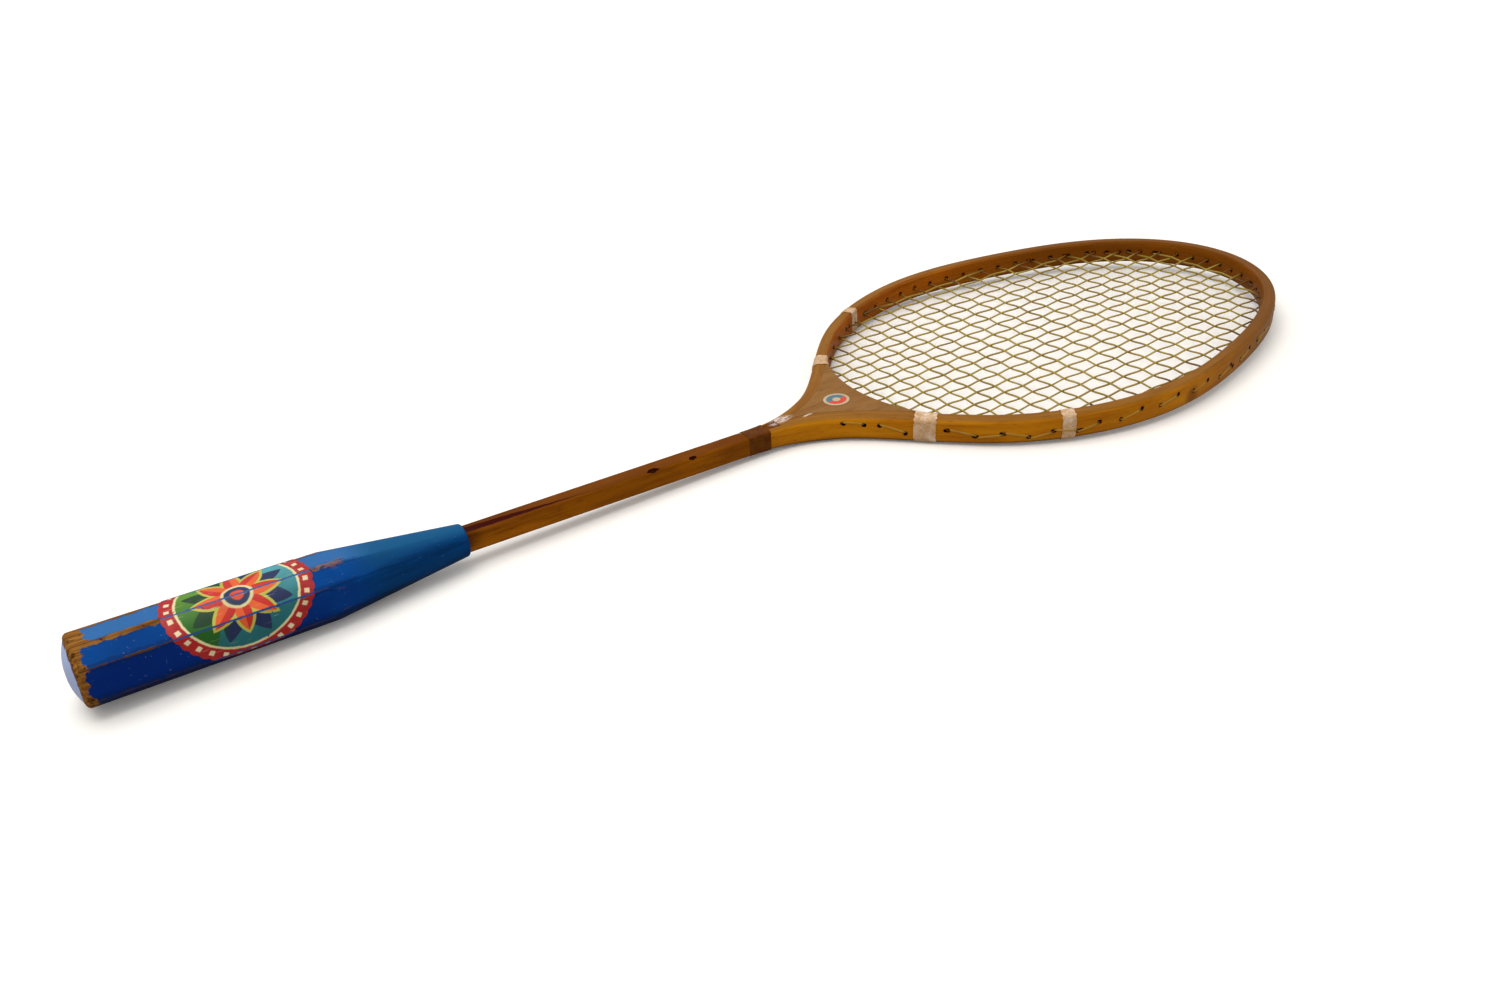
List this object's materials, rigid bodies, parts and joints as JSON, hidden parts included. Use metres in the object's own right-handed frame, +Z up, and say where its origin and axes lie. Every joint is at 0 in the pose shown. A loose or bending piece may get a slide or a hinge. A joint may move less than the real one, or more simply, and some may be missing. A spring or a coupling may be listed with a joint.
{
  "type": "wooden badminton racket",
  "caption": "Wooden badminton racket with an eight-sided blue handle, a slim shaft, a laminated bent hoop and a woven string bed.",
  "frame": {"origin": "centre of the bounding box in plan, at the level of the lowest point of the handle", "axes": "+X from the butt of the handle toward the tip of the hoop, +Y across the hoop, +Z up, out of the face that carries the handle label"},
  "size_m": [0.6593, 0.214, 0.0357],
  "materials": {
    "hoop_outer": "clear varnish, worn",
    "hoop_middle": "clear varnish, worn",
    "hoop_inner": "clear varnish, worn",
    "wedge": "clear varnish, worn",
    "shaft": "brown varnish, worn",
    "handle": "blue paint over wood, worn at the edges",
    "splice_band": "dark varnished binding",
    "tape": "thin translucent tape, satin",
    "label": "printed paper, varnished",
    "roundel": "printed paper, varnished",
    "main_string": "olive twisted string, satin",
    "cross_string": "olive twisted string, satin"
  },
  "bodies": {
    "root": {"hoop_ply_outer": "hoop_outer", "hoop_ply_middle": "hoop_middle", "hoop_ply_inner": "hoop_inner", "throat_wedge": "wedge", "shaft": "shaft", "handle": "handle", "splice_band": "splice_band", "shoulder_tape_near": "tape", "shoulder_tape_far": "tape", "side_tape_near": "tape", "side_tape_far": "tape", "handle_label": "label", "throat_roundel": "roundel", "main_string": "main_string", "cross_string": "cross_string"}
  },
  "joints": []
}
